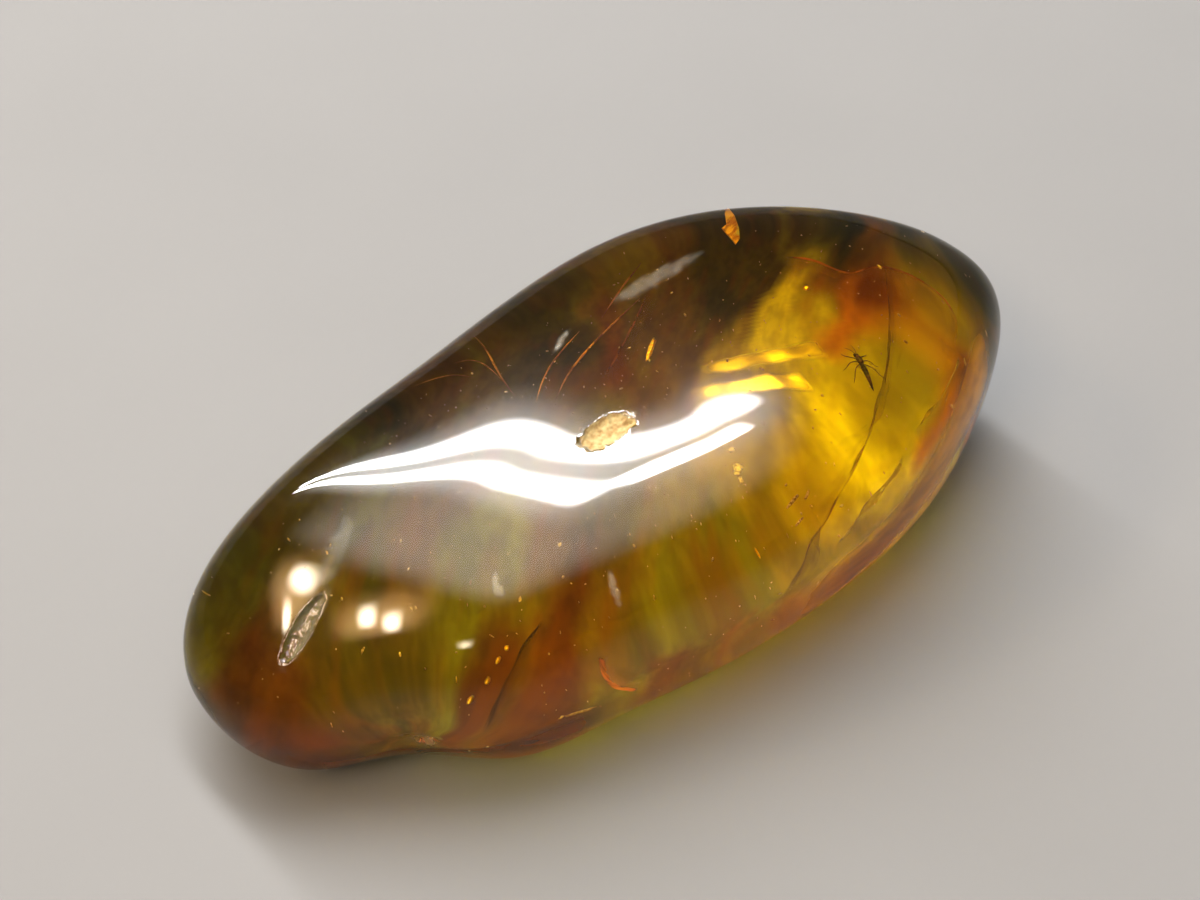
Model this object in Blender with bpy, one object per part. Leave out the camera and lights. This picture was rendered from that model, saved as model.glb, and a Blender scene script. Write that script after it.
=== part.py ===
"""A polished nugget of clear amber with a gnat and a scrap of bark sealed inside it.

The nugget is one natural piece. It is parted level with the two inclusions, by a thin
slot, so that each of them is a body of its own in a pocket. Lengths are in millimetres
until the last step, which writes each mesh in metres. +X is the long way of the nugget
and +Z is up; the flat of the underside is at z = 0.
"""

import math

import bmesh
import bpy
import numpy as np
from mathutils import Matrix, Vector

MM = 0.001

# ---------------------------------------------------------------- driving dimensions
HALF_LENGTH = 24.0  # from the middle to each rounded end, before the end's swelling
LEFT_END = 2.3  # how blunt each end is: 2 is an ellipse, more is squarer
RIGHT_END = 2.6
SECTION = 2.35  # how square the cross-section is
# Nine evenly spaced sections from the left end to the right end.
CENTRE_Y = (4.2, 1.9, 0.5, -0.3, -0.5, -0.6, -1.2, -1.6, -2.0)
HALF_WIDTH = (9.8, 10.3, 10.4, 10.6, 11.3, 11.4, 10.8, 9.2, 8.4)
WIDEST_Z = (5.0, 6.0, 7.0, 7.6, 8.0, 8.4, 8.4, 7.8, 7.0)
RISE = (9.0, 9.0, 9.0, 8.8, 8.4, 8.6, 8.6, 8.6, 8.6)  # from the widest level to the top
DROP = (7.0, 8.0, 9.0, 9.6, 10.0, 10.4, 10.4, 9.8, 9.0)  # and to the underside
LEAN = (5.0, 8.0, 10.0, 9.0, 4.0, 2.0, 0.0, 0.0, 4.0)  # degrees each section leans
BASE_BLEND = 1.2  # height over which the underside rounds into its flat

# Broad swellings (+) and hollows (-) of the polished surface.
# Each is its centre, its reach and its height.
SWELLINGS = (
    ((-23.5, -2.5, 3.0), 3.5, 1.4),  # near corner of the left end
    ((-19.0, -6.0, 3.0), 2.6, -1.5),  # notch beside that corner
    ((-14.5, -9.5, 3.0), 3.5, 1.0),  # shoulder past the notch
    ((19.5, 6.5, 10.0), 4.5, -1.0),  # far right shoulder, rubbed down
    ((-6.0, 5.0, 16.0), 5.0, -1.2),  # saddle across the top
    ((6.0, -1.5, 16.5), 5.5, -0.9),  # long flat right of the saddle
    ((11.5, -1.0, 14.0), 6.0, 0.7),  # crown of the right lobe
    ((-13.5, 6.0, 18.0), 5.0, -1.5),  # far left slope
    ((-6.5, -7.0, 14.0), 6.5, -1.2),  # near slope
    ((-9.0, 9.0, 9.0), 6.0, 0.8),  # far left side
)
ACROSS = (24.0, 12.0, 8.0)  # half-lengths that set which way a swelling pushes

GRID = (34, 17, 17)  # cells of the nugget's mesh along x, y and z
SHIFT = (0.17, 0.416)  # brings the middle of the nugget's bounds over the origin

PARTING_Z = 9.5
SLOT = 0.3

# Worn pits: centre on the surface, half-lengths, turn about the vertical, tilt.
PITS = {
    "top_pit": ((-3.9, -2.7, 14.87), (1.4, 0.65, 0.5), -3.0, -7.0),
    "end_groove": ((-19.95, 0.1, 10.6), (1.4, 0.42, 0.4), 9.0, -39.0),
    "side_chip": ((-17.1, -4.75, 3.9), (0.45, 0.4, 0.35), 0.0, 0.0),
}

GNAT_AT = (10.9, -4.45, PARTING_Z)
GNAT_TURN = 70.0  # degrees from +X to the gnat's head
GNAT_ROLL = 12.0
GNAT_POCKET = (1.55, 1.35, 0.95)

SCRAP_AT = (11.95, 4.85, PARTING_Z)
SCRAP_TURN = 35.0
SCRAP_TILT = 18.0
SCRAP_OUTLINE = (
    (-0.72, -0.30),
    (-0.38, -0.44),
    (0.10, -0.34),
    (0.52, -0.12),
    (0.70, 0.16),
    (0.44, 0.30),
    (0.06, 0.24),
    (-0.22, 0.46),
    (-0.40, 0.18),
)
SCRAP_THICK = 0.12
SCRAP_POCKET = (1.15, 1.0, 0.7)


# ---------------------------------------------------------------- the nugget's form
def along(stations, s):
    """A smooth curve through evenly spaced stations, for s from -1 to 1."""
    held = np.array([stations[0], *stations, stations[-1]], float)
    last = len(stations) - 1
    place = (np.clip(s, -1.0, 1.0) + 1.0) / 2.0 * last
    first = np.clip(np.floor(place).astype(int), 0, last - 1)
    u = place - first
    before = held[first] * (1 - u) ** 3
    here = held[first + 1] * (3 * u**3 - 6 * u**2 + 4)
    after = held[first + 2] * (-3 * u**3 + 3 * u**2 + 3 * u + 1)
    beyond = held[np.minimum(first + 3, len(held) - 1)] * u**3
    return (before + here + after + beyond) / 6.0


def nugget_form(way):
    """Points of the nugget's surface for unit directions out of its middle."""
    s = way[:, 0]
    slant = np.sqrt(np.maximum(1.0 - s**2, 0.0))
    safe = np.maximum(slant, 1e-9)
    side = np.where(slant > 1e-9, way[:, 1] / safe, 1.0)
    lift = np.where(slant > 1e-9, way[:, 2] / safe, 0.0)
    squareness = (np.abs(side) ** SECTION + np.abs(lift) ** SECTION) ** (-1.0 / SECTION)
    blunt = np.where(s < 0, LEFT_END, RIGHT_END)
    taper = np.sqrt(np.maximum(1.0 - np.abs(s) ** blunt, 0.0)) * squareness
    height = np.where(lift > 0, along(RISE, s), along(DROP, s))
    out = along(HALF_WIDTH, s) * taper * side
    up = height * taper * lift
    lean = np.radians(along(LEAN, s))
    x = HALF_LENGTH * s
    y = along(CENTRE_Y, s) + out * np.cos(lean) - up * np.sin(lean)
    z = along(WIDEST_Z, s) + out * np.sin(lean) + up * np.cos(lean)
    point = np.stack([x, y, z], axis=1)
    push = way / np.array(ACROSS)
    push /= np.linalg.norm(push, axis=1, keepdims=True)
    swell = np.zeros(len(point))
    for centre, reach, amount in SWELLINGS:
        apart = ((point - np.array(centre)) ** 2).sum(axis=1)
        swell += amount * np.exp(-apart / (2.0 * reach * reach))
    point += push * swell[:, None]
    return flatten_base(point)


def flatten_base(point):
    """Rubs the underside down to a true flat at z = 0, rounded off round its edge."""
    z = point[:, 2]
    rounded = (z + BASE_BLEND) ** 2 / (4.0 * BASE_BLEND)
    point[:, 2] = np.where(z < -BASE_BLEND, 0.0, np.where(z < BASE_BLEND, rounded, z))
    return point


def ball_grid(cells):
    """Unit directions and faces of a ball made from a grid on the sides of a box."""
    index = {}
    ways = []
    faces = []

    def corner(key):
        if key not in index:
            spot = [math.tan((2.0 * k / n - 1.0) * math.pi / 4.0) for k, n in zip(key, cells)]
            ways.append(Vector(spot).normalized())
            index[key] = len(ways) - 1
        return index[key]

    for axis in range(3):
        other, third = (axis + 1) % 3, (axis + 2) % 3
        for end in (0, cells[axis]):
            for i in range(cells[other]):
                for j in range(cells[third]):
                    ring = []
                    for step_i, step_j in ((0, 0), (1, 0), (1, 1), (0, 1)):
                        key = [0, 0, 0]
                        key[axis] = end
                        key[other] = i + step_i
                        key[third] = j + step_j
                        ring.append(corner(tuple(key)))
                    faces.append(ring if end else ring[::-1])
    return np.array(ways), faces


# ---------------------------------------------------------------- making meshes
def add_object(name, vertices, faces):
    mesh = bpy.data.meshes.new(name)
    mesh.from_pydata([tuple(v) for v in vertices], [], [tuple(f) for f in faces])
    mesh.validate()
    body = bpy.data.objects.new(name, mesh)
    bpy.context.scene.collection.objects.link(body)
    return body


def baked(body):
    """The object's mesh with its modifiers applied, as its own new mesh."""
    graph = bpy.context.evaluated_depsgraph_get()
    mesh = bpy.data.meshes.new_from_object(body.evaluated_get(graph))
    body.modifiers.clear()
    body.data = mesh
    return body


def combine(body, tool, operation):
    """Cuts, keeps or joins with a tool, then drops the tool."""
    change = body.modifiers.new(operation.lower(), "BOOLEAN")
    change.operation = operation
    change.solver = "EXACT"
    change.object = tool
    baked(body)
    bpy.data.objects.remove(tool)
    return body


def ellipsoid(name, centre, half, turn=0.0, tilt=0.0, around=16, levels=10):
    vertices = [(0.0, 0.0, 1.0)]
    for level in range(1, levels):
        polar = math.pi * level / levels
        for step in range(around):
            angle = 2.0 * math.pi * step / around
            vertices.append(
                (math.sin(polar) * math.cos(angle), math.sin(polar) * math.sin(angle), math.cos(polar))
            )
    vertices.append((0.0, 0.0, -1.0))
    place = Matrix.Translation(centre) @ Matrix.Rotation(math.radians(turn), 4, "Z")
    place = place @ Matrix.Rotation(math.radians(tilt), 4, "Y")
    spots = [place @ Vector([v * h for v, h in zip(vertex, half)]) for vertex in vertices]
    bottom = len(vertices) - 1
    faces = []
    for step in range(around):
        nxt = (step + 1) % around
        faces.append((0, 1 + step, 1 + nxt))
        low = 1 + (levels - 2) * around
        faces.append((bottom, low + nxt, low + step))
        for level in range(levels - 2):
            a = 1 + level * around
            b = a + around
            faces.append((a + step, b + step, b + nxt, a + nxt))
    return add_object(name, spots, faces)


def box(name, low, high):
    x0, y0, z0 = low
    x1, y1, z1 = high
    vertices = [(x, y, z) for x in (x0, x1) for y in (y0, y1) for z in (z0, z1)]
    faces = [(0, 1, 3, 2), (4, 6, 7, 5), (0, 4, 5, 1), (2, 3, 7, 6), (0, 2, 6, 4), (1, 5, 7, 3)]
    return add_object(name, vertices, faces)


def limb(name, path, radii, sides=6):
    """A closed tapering tube along a path, such as a leg or a feeler."""
    points = [Vector(p) for p in path]
    vertices = []
    for i, point in enumerate(points):
        before = points[max(i - 1, 0)]
        after = points[min(i + 1, len(points) - 1)]
        ahead = (after - before).normalized()
        across = ahead.orthogonal().normalized() if i == 0 else across_last
        across = (across - ahead * across.dot(ahead)).normalized()
        across_last = across
        rise = ahead.cross(across)
        for k in range(sides):
            angle = 2.0 * math.pi * k / sides
            vertices.append(point + (across * math.cos(angle) + rise * math.sin(angle)) * radii[i])
    faces = [tuple(range(sides))[::-1]]
    for i in range(len(points) - 1):
        for k in range(sides):
            a, b = i * sides + k, i * sides + (k + 1) % sides
            faces.append((a, b, b + sides, a + sides))
    last = (len(points) - 1) * sides
    faces.append(tuple(range(last, last + sides)))
    return add_object(name, vertices, faces)


def plate(name, outline, low, high, bow=0.0):
    """A thin closed plate with the given outline; bow lifts it toward its middle."""
    count = len(outline)
    middle = Vector((sum(p[0] for p in outline) / count, sum(p[1] for p in outline) / count))
    vertices = []
    for level in (low, high):
        vertices += [(p[0], p[1], level) for p in outline]
        vertices.append((middle.x, middle.y, level + bow))
    faces = []
    for k in range(count):
        nxt = (k + 1) % count
        faces.append((count, nxt, k))
        faces.append((2 * count + 1, count + 1 + k, count + 1 + nxt))
        faces.append((k, nxt, count + 1 + nxt, count + 1 + k))
    return add_object(name, vertices, faces)


# ---------------------------------------------------------------- the parts
def make_nugget():
    ways, faces = ball_grid(GRID)
    nugget = add_object("nugget", nugget_form(ways), faces)
    for name, (centre, half, turn, tilt) in PITS.items():
        combine(nugget, ellipsoid(name, centre, half, turn, tilt, around=14, levels=8), "DIFFERENCE")
    return nugget


def pocketed(nugget, name, low, high):
    """The slice of the nugget between two levels, with the inclusions' pockets cut out."""
    piece = bpy.data.objects.new(name, nugget.data.copy())
    bpy.context.scene.collection.objects.link(piece)
    combine(piece, box(name + "_slice", (-40.0, -30.0, low), (40.0, 30.0, high)), "INTERSECT")
    combine(piece, ellipsoid("gnat_pocket", GNAT_AT, GNAT_POCKET, GNAT_TURN), "DIFFERENCE")
    combine(piece, ellipsoid("scrap_pocket", SCRAP_AT, SCRAP_POCKET, SCRAP_TURN), "DIFFERENCE")
    return piece


def abdomen():
    """Eight narrowing rings from the waist to the pointed tail."""
    spine = [(0.16 - 0.137 * k, 0.0, 0.02 - 0.006 * k * k) for k in range(9)]
    girth = [0.10, 0.135, 0.145, 0.14, 0.128, 0.108, 0.085, 0.058, 0.028]
    path = []
    radii = []
    for k in range(8):
        start, end = Vector(spine[k]), Vector(spine[k + 1])
        path += [start, start.lerp(end, 0.55)]
        radii += [girth[k] * 0.93, girth[k] * 1.04]
    path.append(Vector(spine[8]))
    radii.append(girth[8])
    return limb("abdomen", path, radii, sides=10)


def leg(name, side, root, knee, ankle, toe):
    path = [(root[0], root[1] * side, root[2])]
    path += [(p[0], p[1] * side, p[2]) for p in (knee, ankle, toe)]
    return limb(name, path, (0.034, 0.030, 0.022, 0.014), sides=5)


def wing(name, side):
    outline = [(0.28, 0.02), (0.05, 0.16), (-0.25, 0.25), (-0.58, 0.27), (-0.80, 0.18), (-0.84, 0.06)]
    outline += [(-0.62, -0.02), (-0.25, -0.03), (0.10, -0.03)]
    flat = plate(name, outline, -0.012, 0.012, bow=0.02)
    place = Matrix.Translation((0.08, side * 0.10, 0.20)) @ Matrix.Rotation(math.radians(4), 4, "Y")
    place = place @ Matrix.Rotation(math.radians(-14 * side), 4, "Z") @ Matrix.Rotation(math.radians(24 * side), 4, "X")
    for vertex in flat.data.vertices:
        spot = Vector((vertex.co.x, vertex.co.y * side, vertex.co.z))
        vertex.co = place @ spot
    if side < 0:
        flat.data.flip_normals()
    return flat


def make_gnat():
    """One fused body, its head toward +X, standing on nothing: it hangs in its pocket."""
    body = ellipsoid("gnat", (0.30, 0.0, 0.06), (0.25, 0.17, 0.20), around=12, levels=8)
    pieces = [
        abdomen(),
        ellipsoid("head", (0.585, 0.0, -0.02), (0.105, 0.125, 0.12), around=10, levels=7),
        ellipsoid("eye_left", (0.615, 0.078, 0.005), (0.062, 0.058, 0.078), around=8, levels=6),
        ellipsoid("eye_right", (0.615, -0.078, 0.005), (0.062, 0.058, 0.078), around=8, levels=6),
        limb("snout", [(0.62, 0, -0.06), (0.69, 0, -0.13), (0.70, 0, -0.19)], (0.035, 0.026, 0.015)),
        limb(
            "feeler_left",
            [(0.65, 0.03, 0.04), (0.74, 0.10, 0.08), (0.86, 0.22, 0.10), (0.95, 0.38, 0.08)],
            (0.020, 0.018, 0.015, 0.010),
            sides=5,
        ),
        limb(
            "feeler_right",
            [(0.65, -0.03, 0.04), (0.77, -0.05, 0.09), (0.92, -0.04, 0.12), (1.06, 0.02, 0.11)],
            (0.020, 0.018, 0.015, 0.010),
            sides=5,
        ),
        wing("wing_left", 1),
        wing("wing_right", -1),
        leg("fore_left", 1, (0.42, 0.05, -0.02), (0.58, 0.34, -0.08), (0.74, 0.44, -0.24), (0.92, 0.52, -0.30)),
        leg("fore_right", -1, (0.42, 0.05, -0.02), (0.60, 0.30, -0.06), (0.70, 0.46, -0.22), (0.82, 0.62, -0.28)),
        leg("mid_left", 1, (0.28, 0.06, -0.04), (0.26, 0.46, 0.02), (0.10, 0.66, -0.20), (0.04, 0.84, -0.30)),
        leg("mid_right", -1, (0.28, 0.06, -0.04), (0.34, 0.44, 0.04), (0.16, 0.62, -0.18), (0.20, 0.84, -0.26)),
        leg("hind_left", 1, (0.16, 0.05, -0.03), (-0.12, 0.44, 0.04), (-0.44, 0.56, -0.22), (-0.60, 0.70, -0.32)),
        leg("hind_right", -1, (0.16, 0.05, -0.03), (-0.06, 0.42, 0.06), (-0.34, 0.60, -0.16), (-0.40, 0.82, -0.24)),
    ]
    for piece in pieces:
        combine(body, piece, "UNION")
    place = Matrix.Translation(GNAT_AT) @ Matrix.Rotation(math.radians(GNAT_TURN), 4, "Z")
    place = place @ Matrix.Rotation(math.radians(GNAT_ROLL), 4, "X") @ Matrix.Translation((-0.05, 0.0, 0.0))
    body.data.transform(place)
    return body


def make_scrap():
    scrap = plate("bark_scrap", SCRAP_OUTLINE, -SCRAP_THICK / 2, SCRAP_THICK / 2, bow=0.05)
    place = Matrix.Translation(SCRAP_AT) @ Matrix.Rotation(math.radians(SCRAP_TURN), 4, "Z")
    scrap.data.transform(place @ Matrix.Rotation(math.radians(SCRAP_TILT), 4, "X"))
    return scrap


# ---------------------------------------------------------------- finishing
def in_metres(body):
    """Brings the nugget over the origin and writes metres."""
    mesh = body.data
    shape = bmesh.new()
    shape.from_mesh(mesh)
    bmesh.ops.translate(shape, vec=(SHIFT[0], SHIFT[1], 0.0), verts=shape.verts)
    bmesh.ops.scale(shape, vec=(MM, MM, MM), verts=shape.verts)
    bmesh.ops.triangulate(shape, faces=shape.faces)
    bmesh.ops.recalc_face_normals(shape, faces=shape.faces)
    shape.to_mesh(mesh)
    shape.free()
    mesh.update()


def material(name, colour, roughness, clear=0.0):
    made = bpy.data.materials.new(name)
    made.use_nodes = True
    surface = made.node_tree.nodes["Principled BSDF"]
    surface.inputs["Base Color"].default_value = (*colour, 1.0)
    surface.inputs["Roughness"].default_value = roughness
    surface.inputs["IOR"].default_value = 1.54
    surface.inputs["Transmission Weight"].default_value = clear
    return made


def main():
    for old in list(bpy.data.objects):
        bpy.data.objects.remove(old)
    nugget = make_nugget()
    upper = pocketed(nugget, "amber_upper", PARTING_Z + SLOT / 2, 40.0)
    lower = pocketed(nugget, "amber_lower", -5.0, PARTING_Z - SLOT / 2)
    bpy.data.objects.remove(nugget)
    gnat = make_gnat()
    scrap = make_scrap()
    finishes = (
        (upper, "amber_upper", (0.95, 0.50, 0.08), 0.05, 1.0),
        (lower, "amber_lower", (0.80, 0.38, 0.06), 0.05, 1.0),
        (gnat, "gnat", (0.07, 0.04, 0.035), 0.6, 0.0),
        (scrap, "bark_scrap", (0.55, 0.26, 0.05), 0.8, 0.0),
    )
    for body, name, colour, roughness, clear in finishes:
        in_metres(body)
        body.data.materials.clear()
        body.data.materials.append(material(name, colour, roughness, clear))


main()
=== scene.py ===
"""Looks for the insect in amber: a clear polished nugget, what is sealed in it, and its studio."""

import math
import random

import bmesh
import bpy
import numpy as np
from mathutils import Euler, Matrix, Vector, noise


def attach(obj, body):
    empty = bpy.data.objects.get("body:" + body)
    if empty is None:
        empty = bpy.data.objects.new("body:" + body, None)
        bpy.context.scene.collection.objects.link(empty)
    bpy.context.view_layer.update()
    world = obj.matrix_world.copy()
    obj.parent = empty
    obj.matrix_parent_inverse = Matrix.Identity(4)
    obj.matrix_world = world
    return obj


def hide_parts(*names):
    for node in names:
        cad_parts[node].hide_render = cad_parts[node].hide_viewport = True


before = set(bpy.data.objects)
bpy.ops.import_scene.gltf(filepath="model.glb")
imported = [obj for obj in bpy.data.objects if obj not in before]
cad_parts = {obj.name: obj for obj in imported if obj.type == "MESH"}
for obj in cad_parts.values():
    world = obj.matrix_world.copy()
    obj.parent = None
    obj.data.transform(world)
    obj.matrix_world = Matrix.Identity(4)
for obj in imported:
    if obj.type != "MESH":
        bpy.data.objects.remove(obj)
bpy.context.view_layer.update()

MM = 0.001
NOISE_ROUGHNESS = 0.6
NOISE_SEED = 7  # without a seed, noise.noise_vector follows the clock

# ---------------------------------------------------------------- the nugget's form, in millimetres
HALF_LENGTH = 24.0
LEFT_END = 2.3
RIGHT_END = 2.6
SECTION = 2.35
CENTRE_Y = (4.2, 1.9, 0.5, -0.3, -0.5, -0.6, -1.2, -1.6, -2.0)
HALF_WIDTH = (9.8, 10.3, 10.4, 10.6, 11.3, 11.4, 10.8, 9.2, 8.4)
WIDEST_Z = (5.0, 6.0, 7.0, 7.6, 8.0, 8.4, 8.4, 7.8, 7.0)
RISE = (9.0, 9.0, 9.0, 8.8, 8.4, 8.6, 8.6, 8.6, 8.6)
DROP = (7.0, 8.0, 9.0, 9.6, 10.0, 10.4, 10.4, 9.8, 9.0)
LEAN = (5.0, 8.0, 10.0, 9.0, 4.0, 2.0, 0.0, 0.0, 4.0)
BASE_BLEND = 1.2
SWELLINGS = (
    ((-23.5, -2.5, 3.0), 3.5, 1.4),
    ((-19.0, -6.0, 3.0), 2.6, -1.5),
    ((-14.5, -9.5, 3.0), 3.5, 1.0),
    ((19.5, 6.5, 10.0), 4.5, -1.0),
    ((-6.0, 5.0, 16.0), 5.0, -1.2),
    ((6.0, -1.5, 16.5), 5.5, -0.9),
    ((11.5, -1.0, 14.0), 6.0, 0.7),
    ((-13.5, 6.0, 18.0), 5.0, -1.5),
    ((-6.5, -7.0, 14.0), 6.5, -1.2),
    ((-9.0, 9.0, 9.0), 6.0, 0.8),
)
ACROSS = (24.0, 12.0, 8.0)
SHIFT = np.array((0.17, 0.416, 0.0))
GRID = (150, 75, 75)

# Worn pits: middle, half-length, half-width, depth, direction of the length, roughness of the floor.
PITS = (
    ((-3.9, -2.7, 14.7), 1.42, 0.66, 0.34, (1.0, -0.05, 0.12), 0.07),
    ((-2.85, -3.05, 14.75), 0.42, 0.22, 0.12, (0.8, -0.5, 0.1), 0.03),
    ((-20.1, 0.1, 10.4), 1.75, 0.44, 0.30, (0.76, 0.12, 0.63), 0.06),
    ((-17.1, -4.65, 3.9), 0.45, 0.38, 0.28, (0.3, -0.1, 0.9), 0.05),
    ((-17.7, -4.2, 4.6), 0.25, 0.16, 0.12, (0.3, -0.1, 0.9), 0.03),
)
PIT_FINE = 1.35  # half-lengths from a pit's middle within which the mesh is finer
PIT_NEAR = 1.5  # half-lengths from its middle beyond which there is no pit
PIT_THICK = 1.5  # millimetres above and below its middle at which it ends
PIT_RIM = 1.12  # where the pit ends, as a share of its outline
PIT_EDGE = 0.24  # the share over which its edge slopes
PIT_FLOOR = 0.93  # the share of its outline that has the rough floor


def along(stations, s):
    """A smooth curve through evenly spaced stations, for s from -1 to 1."""
    held = np.array([stations[0], *stations, stations[-1]], float)
    last = len(stations) - 1
    place = (np.clip(s, -1.0, 1.0) + 1.0) / 2.0 * last
    first = np.clip(np.floor(place).astype(int), 0, last - 1)
    u = place - first
    before = held[first] * (1 - u) ** 3
    here = held[first + 1] * (3 * u**3 - 6 * u**2 + 4)
    after = held[first + 2] * (-3 * u**3 + 3 * u**2 + 3 * u + 1)
    beyond = held[np.minimum(first + 3, len(held) - 1)] * u**3
    return (before + here + after + beyond) / 6.0


def curve(path, places):
    """Points of a smooth curve along a path, at places from -1 to 1."""
    return np.stack([along(axis, places) for axis in zip(*path)], axis=1)


def spine(s, share=1.0):
    """The middles of the nugget's sections, with its length taken to a share."""
    return np.stack([HALF_LENGTH * s * share, along(CENTRE_Y, s), along(WIDEST_Z, s)], axis=-1)


def nugget_form(way):
    """Points of the nugget's surface for unit directions out of its middle."""
    s = way[:, 0]
    slant = np.sqrt(np.maximum(1.0 - s**2, 0.0))
    safe = np.maximum(slant, 1e-9)
    side = np.where(slant > 1e-9, way[:, 1] / safe, 1.0)
    lift = np.where(slant > 1e-9, way[:, 2] / safe, 0.0)
    squareness = (np.abs(side) ** SECTION + np.abs(lift) ** SECTION) ** (-1.0 / SECTION)
    blunt = np.where(s < 0, LEFT_END, RIGHT_END)
    taper = np.sqrt(np.maximum(1.0 - np.abs(s) ** blunt, 0.0)) * squareness
    height = np.where(lift > 0, along(RISE, s), along(DROP, s))
    out = along(HALF_WIDTH, s) * taper * side
    up = height * taper * lift
    lean = np.radians(along(LEAN, s))
    x = HALF_LENGTH * s
    y = along(CENTRE_Y, s) + out * np.cos(lean) - up * np.sin(lean)
    z = along(WIDEST_Z, s) + out * np.sin(lean) + up * np.cos(lean)
    point = np.stack([x, y, z], axis=1)
    push = way / np.array(ACROSS)
    push /= np.linalg.norm(push, axis=1, keepdims=True)
    swell = np.zeros(len(point))
    for centre, reach, amount in SWELLINGS:
        apart = ((point - np.array(centre)) ** 2).sum(axis=1)
        swell += amount * np.exp(-apart / (2.0 * reach * reach))
    point += push * swell[:, None]
    z = point[:, 2]
    rounded = (z + BASE_BLEND) ** 2 / (4.0 * BASE_BLEND)
    point[:, 2] = np.where(z < -BASE_BLEND, 0.0, np.where(z < BASE_BLEND, rounded, z))
    return point


def ball_grid(cells):
    """Unit directions and faces of a ball made from a grid on the sides of a box."""
    index = {}
    ways = []
    faces = []

    def corner(key):
        if key not in index:
            spot = [math.tan((2.0 * k / n - 1.0) * math.pi / 4.0) for k, n in zip(key, cells)]
            ways.append(Vector(spot).normalized())
            index[key] = len(ways) - 1
        return index[key]

    for axis in range(3):
        other, third = (axis + 1) % 3, (axis + 2) % 3
        for end in (0, cells[axis]):
            for i in range(cells[other]):
                for j in range(cells[third]):
                    ring = []
                    for step_i, step_j in ((0, 0), (1, 0), (1, 1), (0, 1)):
                        key = [0, 0, 0]
                        key[axis] = end
                        key[other] = i + step_i
                        key[third] = j + step_j
                        ring.append(corner(tuple(key)))
                    faces.append(ring if end else ring[::-1])
    return np.array(ways), faces


def in_pit(point, pit, normal):
    """How far out of a pit's outline a point is: 0 at its middle, 1 at its rim."""
    centre, half_length, half_width, _depth, direction, _rough = pit
    apart = point - Vector(centre)
    if apart.length > half_length * PIT_NEAR:
        return math.inf
    length_way = Vector(direction)
    length_way = (length_way - normal * length_way.dot(normal)).normalized()
    width_way = normal.cross(length_way)
    u = apart.dot(length_way) / half_length
    v = apart.dot(width_way) / half_width
    w = apart.dot(normal) / PIT_THICK
    ragged = 0.16 * noise.noise(point * 3.1) + 0.07 * noise.noise(point * 8.0)
    return math.sqrt(u * u + v * v + w * w) + ragged


def sunk(point, pit, normal):
    """How far a point of the surface sinks into a pit: its bowl and the grit of its floor."""
    out = in_pit(point, pit, normal)
    if out >= PIT_RIM:
        return 0.0
    depth, rough = pit[3], pit[5]
    bowl = 1.0 - max(out, 0.0) ** 2
    edge = min(max((PIT_RIM - out) / PIT_EDGE, 0.0), 1.0)
    deep = depth * (0.45 + 0.55 * max(bowl, 0.0)) * edge * edge * (3.0 - 2.0 * edge)
    grit = rough * edge * (noise.noise(point * 5.0) + 0.6 * noise.noise(point * 11.0))
    return deep + grit


def refine_pits(shape):
    """Split the mesh's edges round each pit."""
    spots = nugget_form(np.array([v.co for v in shape.verts]))
    near = set()
    for centre, half_length, *_rest in PITS:
        apart = np.linalg.norm(spots - np.array(centre), axis=1)
        near |= set(np.nonzero(apart < half_length * PIT_FINE)[0].tolist())
    shape.verts.index_update()
    edges = [e for e in shape.edges if all(v.index in near for v in e.verts)]
    bmesh.ops.subdivide_edges(shape, edges=edges, cuts=1, use_grid_fill=True)


def sink_pits(shape):
    """Press every pit into the mesh along its normals."""
    moves = []
    for vertex in shape.verts:
        normal = vertex.normal.copy()
        for pit in PITS:
            depth = sunk(vertex.co, pit, normal)
            if depth:
                moves.append((vertex, normal * -depth))
    for vertex, move in moves:
        vertex.co += move


def nugget_mesh():
    """The nugget as one fine mesh, finer still round the pits."""
    ways, faces = ball_grid(GRID)
    shape = bmesh.new()
    for way in ways:
        shape.verts.new(way)
    shape.verts.ensure_lookup_table()
    for face in faces:
        shape.faces.new([shape.verts[i] for i in face])
    for _level in range(2):
        refine_pits(shape)
    spots = nugget_form(np.array([v.co.normalized() for v in shape.verts]))
    for vertex, spot in zip(shape.verts, spots):
        vertex.co = spot
    bmesh.ops.recalc_face_normals(shape, faces=shape.faces)
    shape.normal_update()
    sink_pits(shape)
    bmesh.ops.translate(shape, vec=Vector(SHIFT), verts=shape.verts)
    bmesh.ops.scale(shape, vec=(MM, MM, MM), verts=shape.verts)
    mesh = bpy.data.meshes.new("amber")
    shape.to_mesh(mesh)
    shape.free()
    mesh.shade_smooth()
    points = np.array([v.co for v in mesh.vertices]) / MM
    mark_values(mesh, "worn", worn_shares(points))
    # the outer resin's stains and the painted shade of its far wall
    mark_colours(mesh, "stain_and_shade", stain_and_shade_colours(points))
    return mesh


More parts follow.
